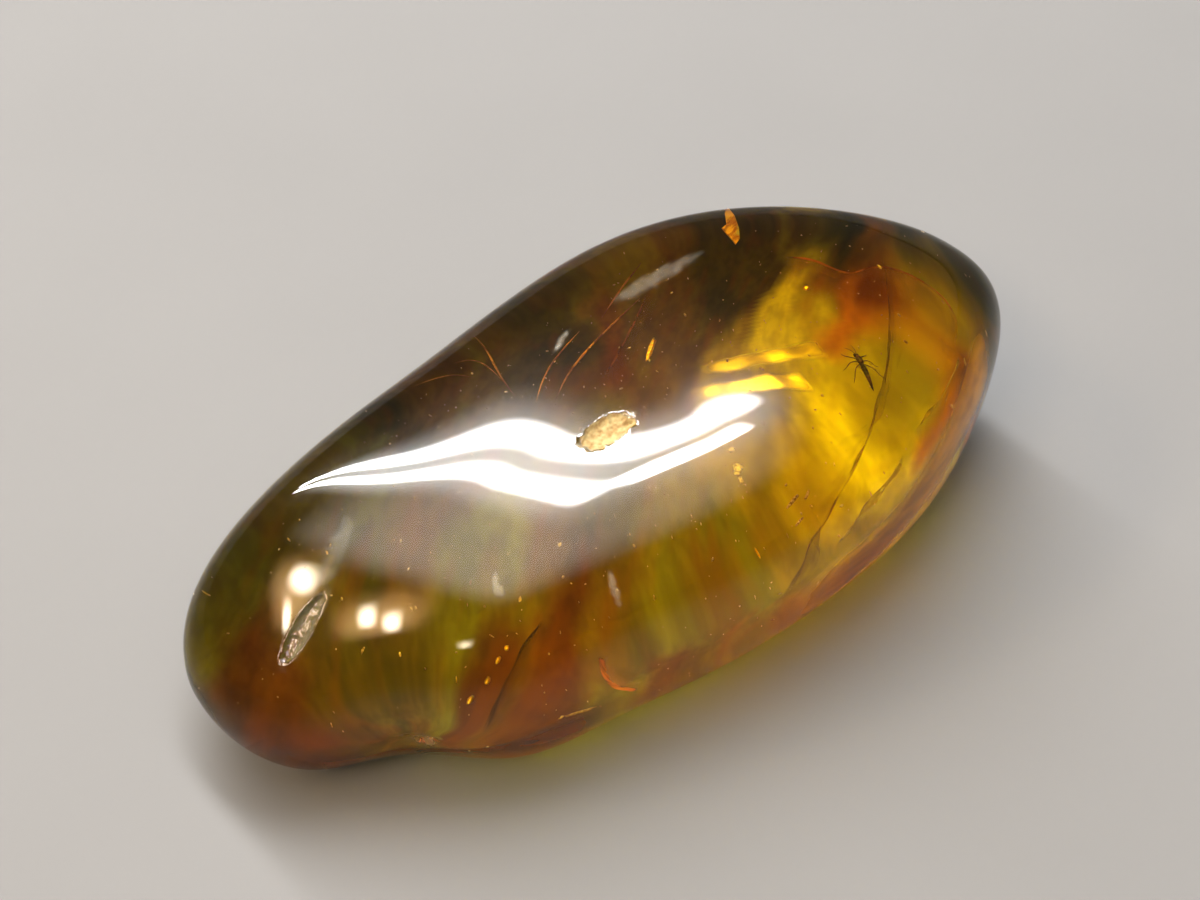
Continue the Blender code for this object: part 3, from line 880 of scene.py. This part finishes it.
# Small things, each with its middle, its reach and its turn in degrees.
GOLD_FLAKES = (
    ((1.9, -5.2, 10.0), (0.36, 0.20, 0.07), (8, -10, 20)),
    ((1.6, -5.7, 9.9), (0.22, 0.12, 0.05), (0, -10, 60)),
    ((2.4, -4.3, 10.0), (0.20, 0.11, 0.05), (5, -10, -30)),
    ((-8.2, -3.9, 11.0), (0.10, 0.07, 0.05), (0, -12, 0)),
    ((-10.6, -3.7, 9.0), (0.12, 0.07, 0.05), (0, -12, 40)),
    ((-10.8, -6.3, 4.0), (0.12, 0.08, 0.05), (0, -12, 0)),
    ((-10.0, -6.7, 4.0), (0.75, 0.10, 0.06), (0, 0, -28)),
)
GLOW_DROPS = (
    ((12.6, 0.6, 9.0), (0.17, 0.15, 0.10), (0, 0, 0)),
    ((-11.7, -3.8, 7.0), (0.15, 0.10, 0.08), (0, 0, 30)),
    ((-12.4, -4.1, 7.0), (0.24, 0.10, 0.08), (0, 0, 30)),
    ((-13.5, -4.8, 7.0), (0.26, 0.12, 0.09), (0, 0, 35)),
    ((-14.1, -4.3, 6.0), (0.30, 0.14, 0.10), (0, 0, 30)),
    ((0.6, -7.6, 8.0), (0.34, 0.06, 0.05), (0, 0, 75)),
)
LONG_DROP = (((4.0, 2.85, 9.0), (0.85, 0.13, 0.11), (0, 0, 31)),)
SLIVERS = (
    ((3.95, -6.35, 8.0), (0.55, 0.06, 0.05), (0, 0, 15)),
    ((4.70, -6.45, 8.0), (0.33, 0.05, 0.04), (0, 0, 27)),
    ((3.45, -7.30, 8.0), (0.36, 0.05, 0.04), (0, 0, 16)),
)

# Thin rusty threads of flow: their thickest reach and the points that they run through.
THREADS = (
    (0.055, ((-1.4, 8.6, 8.0), (-1.7, 7.8, 8.0), (-2.4, 6.4, 8.0), (-2.8, 4.9, 8.0))),
    (0.032, ((-3.4, 8.2, 8.0), (-2.2, 7.8, 8.0), (-2.6, 5.7, 8.0))),
    (0.045, ((2.5, 6.1, 8.0), (0.8, 5.7, 8.0), (-0.8, 5.1, 8.0), (-2.3, 4.1, 8.0))),
    (0.055, ((6.8, 6.3, 7.0), (3.5, 5.8, 7.0), (0.6, 5.0, 7.0), (-1.1, 4.1, 7.0))),
    (0.045, ((8.8, 7.8, 6.0), (7.1, 7.6, 6.0), (4.9, 6.9, 6.0))),
    (0.030, ((-6.3, 8.2, 9.0), (-4.4, 7.7, 9.0), (-3.8, 6.7, 9.0))),
)

DUST_COUNT = 620
DUST_SEED = 7
DUST_LEAST = 0.022  # millimetres
DUST_MORE = 0.055


def inside_spots(count, seed):
    """Spots spread at random through the nugget, clear of its surface."""
    draw = random.Random(seed)
    spots = []
    while len(spots) < count:
        way = np.array([[draw.gauss(0, 1), draw.gauss(0, 1), draw.gauss(0, 1)]])
        way /= np.linalg.norm(way)
        share = 0.25 + 0.68 * draw.random() ** 0.6
        middle = spine(way[:, 0], 0.0)[0]
        spots.append(middle + (nugget_form(way)[0] - middle) * share + SHIFT)
    return spots


def dust_items():
    draw = random.Random(DUST_SEED)
    items = []
    for spot in inside_spots(DUST_COUNT, DUST_SEED):
        size = DUST_LEAST + DUST_MORE * draw.random() ** 3
        reach = (size * (1.0 + 1.5 * draw.random()), size, size * 0.6)
        items.append((spot, reach, [draw.uniform(0, 180) for _ in range(3)]))
    return items


def lump_material(name, colour, dark, metallic, roughness, size):
    """Grainy crumbs: two tones in fine patches."""
    made = Material(name)
    place = made.place()
    tone = made.patches(place, size, 0.4, 0.6)
    made.set(
        Base_Color=made.mix(tone, colour, dark),
        Metallic=metallic,
        Roughness=made.range(tone, 0.0, 1.0, roughness, roughness + 0.2),
        Normal=made.bump(made.noise(place, size * 0.5), 0.03),
    )
    return made.material


# ---------------------------------------------------------------- the gnat, in its own millimetres
GNAT_AT = (11.07, -4.034, 9.5)
GNAT_TURN = 70.0
GNAT_ROLL = 12.0
ABDOMEN_RINGS = (0.080, 0.112, 0.124, 0.122, 0.112, 0.096, 0.076, 0.052, 0.020)
BALLS = (
    ((0.30, 0.0, 0.06), (0.225, 0.145, 0.165)),
    ((0.20, 0.0, 0.13), (0.12, 0.10, 0.09)),
    ((0.585, 0.0, -0.02), (0.090, 0.105, 0.105)),
    ((0.612, 0.070, 0.005), (0.052, 0.048, 0.070)),
    ((0.612, -0.070, 0.005), (0.052, 0.048, 0.070)),
    ((0.48, 0.0, 0.0), (0.06, 0.05, 0.05)),
)
LEGS = (
    ((0.42, 0.05, -0.02), (0.58, 0.34, -0.08), (0.74, 0.44, -0.24), (0.92, 0.52, -0.30)),
    ((0.42, -0.05, -0.02), (0.60, -0.30, -0.06), (0.70, -0.46, -0.22), (0.82, -0.62, -0.28)),
    ((0.28, 0.06, -0.04), (0.26, 0.46, 0.02), (0.10, 0.66, -0.20), (0.04, 0.84, -0.30)),
    ((0.28, -0.06, -0.04), (0.34, -0.44, 0.04), (0.16, -0.62, -0.18), (0.20, -0.84, -0.26)),
    ((0.16, 0.05, -0.03), (-0.12, 0.44, 0.04), (-0.44, 0.56, -0.22), (-0.60, 0.70, -0.32)),
    ((0.16, -0.05, -0.03), (-0.06, -0.42, 0.06), (-0.34, -0.60, -0.16), (-0.40, -0.82, -0.24)),
)
FEELERS = (
    ((0.65, 0.03, 0.04), (0.74, 0.10, 0.08), (0.86, 0.22, 0.10), (0.95, 0.38, 0.08)),
    ((0.65, -0.03, 0.04), (0.77, -0.05, 0.09), (0.92, -0.04, 0.12), (1.06, 0.02, 0.11)),
)
SNOUT = ((0.62, 0.0, -0.06), (0.67, 0.0, -0.10), (0.69, 0.0, -0.15), (0.70, 0.0, -0.19))
LEG_GIRTHS = (0.024, 0.021, 0.014, 0.008)
FEELER_GIRTHS = (0.014, 0.012, 0.010, 0.006)
GNAT_MIDDLE = Vector((0.05, 0.0, 0.0))
WING_ROOT = (0.08, 0.10, 0.20)
WING_TURN = (24.0, 4.0, -14.0)  # degrees, for the left wing
WING_CELLS = 24
WING_ROWS = 8
WING_OUTLINE = (
    (0.28, 0.02), (0.05, 0.16), (-0.25, 0.25), (-0.58, 0.27), (-0.80, 0.18), (-0.84, 0.06),
    (-0.62, -0.02), (-0.25, -0.03), (0.10, -0.03),
)


def tube(path, girths, sides=8, steps=20, pinch=0.0):
    """A round tube along a smooth path, pinched at each station where pinch is more than 0."""
    last = len(path) - 1
    places = np.linspace(-1.0, 1.0, steps + 1)
    line = curve(path, places)
    line[0], line[-1] = path[0], path[-1]
    stations = (places + 1.0) / 2.0 * last
    radii = np.interp(stations, range(last + 1), girths)
    radii *= 1.0 - pinch * np.exp(-(((stations - np.round(stations)) / 0.16) ** 2))
    points = []
    across = None
    for i, spot in enumerate(line):
        ahead = Vector(line[min(i + 1, steps)] - line[max(i - 1, 0)]).normalized()
        across = ahead.orthogonal() if across is None else across - ahead * across.dot(ahead)
        across.normalize()
        rise = ahead.cross(across)
        for k in range(sides):
            angle = 2.0 * math.pi * k / sides
            out = across * math.cos(angle) + rise * math.sin(angle)
            points.append(Vector(spot) + out * float(radii[i]))
    faces = [list(range(sides))[::-1], list(range(steps * sides, (steps + 1) * sides))]
    for i in range(steps):
        for k in range(sides):
            first, beside = i * sides + k, i * sides + (k + 1) % sides
            faces.append([first, beside, beside + sides, first + sides])
    return points, faces


def in_gnat_place(points):
    """Points of the gnat's own frame brought to where it hangs in the amber."""
    spin = spin_of((GNAT_ROLL, 0.0, GNAT_TURN))
    return [spin @ (Vector(p) - GNAT_MIDDLE) + Vector(GNAT_AT) for p in points]


def threads_mesh():
    """The rusty threads, thin at both ends and a little uneven."""
    parts = []
    for reach, path in THREADS:
        girths = [0.25 * reach, *[reach] * (len(path) - 2), 0.25 * reach]
        parts.append(tube(path, girths, steps=36, pinch=0.3))
    return mesh_of("flow_threads", *joined(parts))


def gnat_mesh():
    abdomen = [(0.16 - 0.137 * k, 0.0, 0.02 - 0.006 * k * k) for k in range(len(ABDOMEN_RINGS))]
    parts = [tube(abdomen, ABDOMEN_RINGS, sides=14, steps=64, pinch=0.16)]
    parts += [blob(centre, reach, (0, 0, 0), seed, 0.06, 3) for seed, (centre, reach) in enumerate(BALLS)]
    parts += [tube(path, LEG_GIRTHS, sides=7, steps=24, pinch=0.25) for path in LEGS]
    parts += [tube(path, FEELER_GIRTHS, sides=6, steps=28, pinch=0.2) for path in FEELERS]
    parts.append(tube(SNOUT, (0.028, 0.020, 0.014, 0.010), sides=7, steps=10))
    points, faces = joined(parts)
    return mesh_of("gnat_body", in_gnat_place(points), faces)


def wing_part(side):
    """One wing as a bowed sheet with a faint ripple, from its outline; side is 1 or -1."""
    outline = np.array(WING_OUTLINE)
    xs = np.linspace(outline[:, 0].min() + 0.004, outline[:, 0].max() - 0.004, WING_CELLS + 1)
    front = np.interp(xs, *outline[[5, 4, 3, 2, 1, 0]].T)
    back = np.interp(xs, *outline[[5, 6, 7, 8, 0]].T)
    roll, pitch, sweep = WING_TURN
    spin = spin_of((roll * side, pitch, sweep * side), "XZY")
    root = Vector((WING_ROOT[0], WING_ROOT[1] * side, WING_ROOT[2]))
    points = []
    for i, x in enumerate(xs):
        for j in range(WING_ROWS + 1):
            share = j / WING_ROWS
            y = back[i] + (front[i] - back[i]) * share
            bow = 0.02 * math.sin(math.pi * share) + 0.004 * math.sin(9.0 * math.pi * share)
            points.append(spin @ Vector((x, y * side, bow)) + root)
    return points, grid_faces(WING_CELLS, WING_ROWS)


def wings_mesh():
    points, faces = joined([wing_part(1), wing_part(-1)])
    return mesh_of("gnat_wings", in_gnat_place(points), faces)


def gnat_material():
    """Dark brown chitin with a violet cast in paler patches."""
    made = Material("gnat_chitin")
    place = made.place()
    tone = made.patches(place, 0.16, 0.4, 0.62, detail=4.0)
    colour = made.mix(tone, (0.050, 0.024, 0.014), (0.014, 0.008, 0.010))
    colour = made.mix(made.times(made.patches(place, 0.42, 0.48, 0.64), 0.7), colour, (0.13, 0.045, 0.060))
    made.set(
        Base_Color=colour,
        Roughness=made.range(tone, 0.0, 1.0, 0.30, 0.55),
        Normal=made.bump(made.noise(place, 0.05), 0.01),
    )
    return made.material


def wing_material():
    """Nearly clear membrane with faint brown veins."""
    made = Material("gnat_wing")
    place = made.place()
    veins = made.patches(place, 0.10, 0.56, 0.66, detail=1.0, stretch=(1.0, 3.0, 1.0))
    made.set(Base_Color=made.mix(veins, (0.55, 0.38, 0.16), (0.10, 0.05, 0.02)), Roughness=0.35)
    made.see_through(made.range(veins, 0.0, 1.0, 0.10, 0.45))
    return made.material


def scrap_material():
    """A scrap of bark: orange-gold and dark brown grain in random patches, some of them paler."""
    made = Material("bark_scrap_grain")
    place = made.place()
    grain = made.patches(place, 0.35, 0.42, 0.6, detail=5.0, stretch=(2.5, 0.6, 1.0))
    colour = made.mix(grain, (0.85, 0.42, 0.05), (0.42, 0.13, 0.015))
    made.set(
        Base_Color=made.mix(made.patches(place, 0.8, 0.55, 0.7), colour, (0.55, 0.45, 0.12)),
        Roughness=0.55,
        Normal=made.bump(grain, 0.04),
    )
    return made.material


def streak_material():
    """Thin bright cracks that mirror the light in gold."""
    made = Material("gold_streaks")
    run, down = made.along_and_down()
    made.set(Base_Color=(1.0, 0.80, 0.05), Metallic=1.0, Roughness=0.35)
    shape = made.times(made.between(run, 0.35, 0.85), made.between(down, 0.4, 0.6))
    wisps = made.noise(made.place(), 0.6, stretch=(5.0, 1.0, 1.0))
    made.see_through(made.times(shape, made.range(wisps, 0.3, 0.55, 0.75, 1.0)))
    return made.material


# The bright cracks, each as the points (x, y) that it runs through, in millimetres.
STREAKS = {
    "gold_streak_far": ((7.6, 3.6), (9.2, 3.0), (11.2, 2.3), (13.0, 1.6), (14.3, 1.2)),
    "gold_streak_near": ((6.2, 3.1), (8.2, 2.2), (10.1, 1.5), (11.4, 1.0), (12.4, 0.6)),
}
STREAK_HEIGHT = 2.0
STREAK_HALF_WIDTH = 0.42
STREAK_LEAN = 0.1
STREAK_ROWS = 6


def streak_mesh(name, line):
    """A flat narrow band along a line near the nugget's underside."""
    upper = [(x + STREAK_LEAN, y + STREAK_HALF_WIDTH, STREAK_HEIGHT) for x, y in line]
    lower = [(x - STREAK_LEAN, y - STREAK_HALF_WIDTH, STREAK_HEIGHT) for x, y in line]
    return band_mesh(name, upper, lower, STREAK_ROWS)


# ---------------------------------------------------------------- the object
def add_amber():
    mesh = nugget_mesh()
    amber = add_piece("amber_body", mesh, amber_material())
    mesh.materials.append(pit_material())
    mark_pit_floor(mesh)
    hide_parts("amber_upper", "amber_lower")


def add_clouds():
    add_piece("cloud_outer", cloud_mesh(), cloud_material())


def add_flow():
    for name, (look, upper, lower) in FLOW_BANDS.items():
        add_piece(name, band_mesh(name, upper, lower), band_material(name, *look))
    for name, ((colour, cover, above), stations) in RIM_BANDS.items():
        edges = rim_edges(above, stations)
        add_piece(name, band_mesh(name, *edges), rim_material(name, colour, cover))
    shine = streak_material()
    for name, line in STREAKS.items():
        add_piece(name, streak_mesh(name, line), shine)


def add_small_things():
    flakes = lump_material("resin_flakes", (0.95, 0.72, 0.12), (0.55, 0.35, 0.05), 0.0, 0.4, 0.12)
    glow = lump_material("resin_drops", (1.0, 0.72, 0.10), (1.0, 0.50, 0.03), 1.0, 0.35, 0.15)
    dust = lump_material("dust", (0.80, 0.62, 0.30), (0.35, 0.22, 0.08), 0.0, 0.6, 0.2)
    sliver = lump_material("violet_slivers", (0.62, 0.40, 0.42), (0.20, 0.09, 0.10), 0.0, 0.5, 0.10)
    add_piece("violet_slivers", blobs_mesh("violet_slivers", SLIVERS, 0.4), sliver)
    rusty = lump_material("rusty_threads", (0.46, 0.20, 0.04), (0.20, 0.07, 0.02), 0.0, 0.6, 0.7)
    add_piece("flow_threads", threads_mesh(), rusty)
    add_piece("gold_flakes", blobs_mesh("gold_flakes", GOLD_FLAKES, 0.8), flakes)
    add_piece("glow_drops", blobs_mesh("glow_drops", GLOW_DROPS), glow)
    add_piece("long_drop", blobs_mesh("long_drop", LONG_DROP, 0.4, 3), glow)
    add_piece("dust_specks", blobs_mesh("dust_specks", dust_items(), 0.3, 1), dust)


def add_gnat():
    body = add_piece("gnat_body", gnat_mesh(), gnat_material())
    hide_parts("gnat")
    add_piece("gnat_wings", wings_mesh(), wing_material())


def finish_node(node, material):
    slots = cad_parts[node].data.materials
    slots.clear()
    slots.append(material)


# ---------------------------------------------------------------- floor, light and camera
AZIMUTH = math.radians(-41.0)
ELEVATION = math.radians(46.0)
TARGET = Vector((1.37, 4.016, 5.0)) * MM
DISTANCE = 112.0 * MM
FIELD = math.radians(32.0)
NEAREST, FARTHEST = 0.002, 20.0  # the camera's clipping, in metres
FLOOR_HALF = 3.0
FLOOR_DROP = 0.2 * MM
FLOOR_GREY = 0.154
FLOOR_FADE = (150.0, 700.0)  # millimetres from the middle
FLOOR_DIM = (12.0, 60.0)  # where the paper that only the object sees darkens, in the same millimetres
FLOOR_DIMMED = 0.02
BACKGROUND = (0.56, 0.56, 0.55)
ROOM_LIGHT = (1.0, 0.97, 0.90)
ROOM_STRENGTH = 0.10


def seen_directly(made):
    """1 for what the camera sees itself, and 0 for light on its way to the object."""
    return made.add("LightPath").outputs["Is Camera Ray"]


def floor_material():
    """Pale matt paper that runs into the pale background where it is far away."""
    made = Material("floor_pale")
    place = made.place()
    mottle = made.patches(place, 30.0, 0.3, 0.7)
    length = made.add("VectorMath", operation="LENGTH")
    made.fill(length, Vector=place)
    far = length.outputs["Value"]
    direct = seen_directly(made)
    dim = made.times(made.range(far, *FLOOR_DIM), made.range(direct, 0.0, 1.0, 1.0, 0.0))
    paper = made.mix(mottle, (FLOOR_GREY,) * 3, (FLOOR_GREY * 0.97,) * 3)
    made.set(Base_Color=made.mix(dim, paper, (FLOOR_DIMMED,) * 3), Roughness=0.85)
    glow = made.result(made.add("Emission"), BACKGROUND)
    share = made.times(made.range(far, *FLOOR_FADE), direct)
    made.show(made.blend(share, made.surface.outputs[0], glow))
    return made.material


def add_floor():
    low = -FLOOR_DROP / MM
    reach = FLOOR_HALF / MM
    corners = [(-reach, -reach, low), (reach, -reach, low), (reach, reach, low), (-reach, reach, low)]
    mesh = mesh_of("floor", corners, [(0, 1, 2, 3)])
    mesh.materials.append(floor_material())
    placed("floor", mesh)


LAMP_HEIGHT = 0.5
LAMP_STEP = 0.001  # lamps at one height would hide each other
WHITE = (1.0, 1.0, 1.0)
WARM = (1.0, 0.88, 0.68)
GOLDEN = (1.0, 0.62, 0.30)

# How a lamp fades at its left, right, front and back edges, in shares of its width and depth.
SOFT_SPOT = (0.5, 0.5, 0.5, 0.5)
TUBE_FADE = (0.5, 0.5, 0.03, 0.1)


def fade_lamp(lamp, left, right, front, back):
    """Fade a flat lamp towards its edges."""
    lamp.use_nodes = True
    made = Nodes(lamp.node_tree)
    x, y, _z = made.axes(made.add("NewGeometry").outputs["Parametric"])
    spot = made.times(made.between(x, left, 1.0 - right), made.between(y, front, 1.0 - back))
    made.fill(made.tree.nodes["Emission"], Strength=spot)


def flat_lamp(name, middle, size, power, turn=0.0, colour=WHITE, fade=SOFT_SPOT):
    """A flat lamp facing down: its middle and size in metres, and its turn in degrees."""
    above_others = LAMP_STEP * len(bpy.data.lights)
    lamp = bpy.data.lights.new(name, "AREA")
    lamp.shape = "RECTANGLE"
    lamp.size, lamp.size_y = size
    lamp.energy = power
    lamp.color = colour
    fade_lamp(lamp, *fade)
    holder = placed(name, lamp)
    holder.location = (*middle, LAMP_HEIGHT + above_others)
    holder.rotation_euler = (0.0, 0.0, math.radians(turn))
    holder.visible_camera = False


def add_world():
    """A dim warm room, behind a background that only the camera sees."""
    world = bpy.data.worlds.new("studio")
    world.use_nodes = True
    made = Nodes(world.node_tree)
    room = made.result(made.tree.nodes["Background"], ROOM_LIGHT, ROOM_STRENGTH)
    pale = made.result(made.add("Background"), BACKGROUND)
    seen = made.blend(seen_directly(made), room, pale)
    made.fill(made.tree.nodes["World Output"], Surface=seen)
    bpy.context.scene.world = world


def add_lights():
    flat_lamp("tube_far", (0.1045, 0.875), (0.033, 1.85), 12.0, fade=TUBE_FADE)
    flat_lamp("tube_near", (0.0625, 0.85), (0.036, 1.90), 13.0, fade=TUBE_FADE)
    flat_lamp("tube_glow", (0.075, 0.575), (0.150, 1.65), 6.2, fade=(0.5, 0.4, 0.2, 0.6))
    flat_lamp("tube_tip", (0.082, -0.080), (0.028, 0.070), 0.25, fade=(0.3, 0.3, 0.2, 0.2))
    flat_lamp("soft_panel", (-0.04, 0.075), (0.44, 1.35), 5.9, fade=(0.3, 0.45, 0.28, 0.45))
    flat_lamp("twin_a", (-0.455, -0.090), (0.32, 0.085), 3.6, 44.0, WARM)
    flat_lamp("twin_b", (-0.475, -0.225), (0.36, 0.090), 4.2, 46.0, WARM)
    flat_lamp("twin_halo", (-0.465, -0.155), (0.62, 0.42), 7.0, 45.0, GOLDEN)
    flat_lamp("end_top", (-0.355, 0.295), (0.19, 0.15), 3.4, 20.0, WARM)
    flat_lamp("end_middle", (-0.580, 0.240), (0.34, 0.075), 3.2, 32.0, WARM)
    flat_lamp("end_tip", (-0.900, 0.050), (0.50, 0.080), 3.5, 28.0, WARM)
    flat_lamp("end_halo", (-0.47, 0.28), (0.60, 0.34), 5.0, 30.0, GOLDEN)
    flat_lamp("low", (-0.74, -1.10), (0.60, 0.15), 5.0, 57.0, WARM)


def add_camera():
    out = math.cos(ELEVATION)
    back = Vector((math.sin(AZIMUTH) * out, -math.cos(AZIMUTH) * out, math.sin(ELEVATION)))
    lens = bpy.data.cameras.new("camera")
    lens.sensor_fit = "HORIZONTAL"
    lens.angle = FIELD
    lens.clip_start = NEAREST
    lens.clip_end = FARTHEST
    camera = placed("camera", lens)
    camera.location = TARGET + back * DISTANCE
    camera.rotation_euler = back.to_track_quat("Z", "Y").to_euler()
    bpy.context.scene.camera = camera


noise.seed_set(NOISE_SEED)
add_amber()
add_clouds()
add_flow()
add_small_things()
add_gnat()
finish_node("bark_scrap", scrap_material())
add_floor()
add_world()
add_lights()
add_camera()
bpy.context.scene.view_settings.view_transform = "Standard"
bpy.context.scene.view_settings.look = "Medium High Contrast"
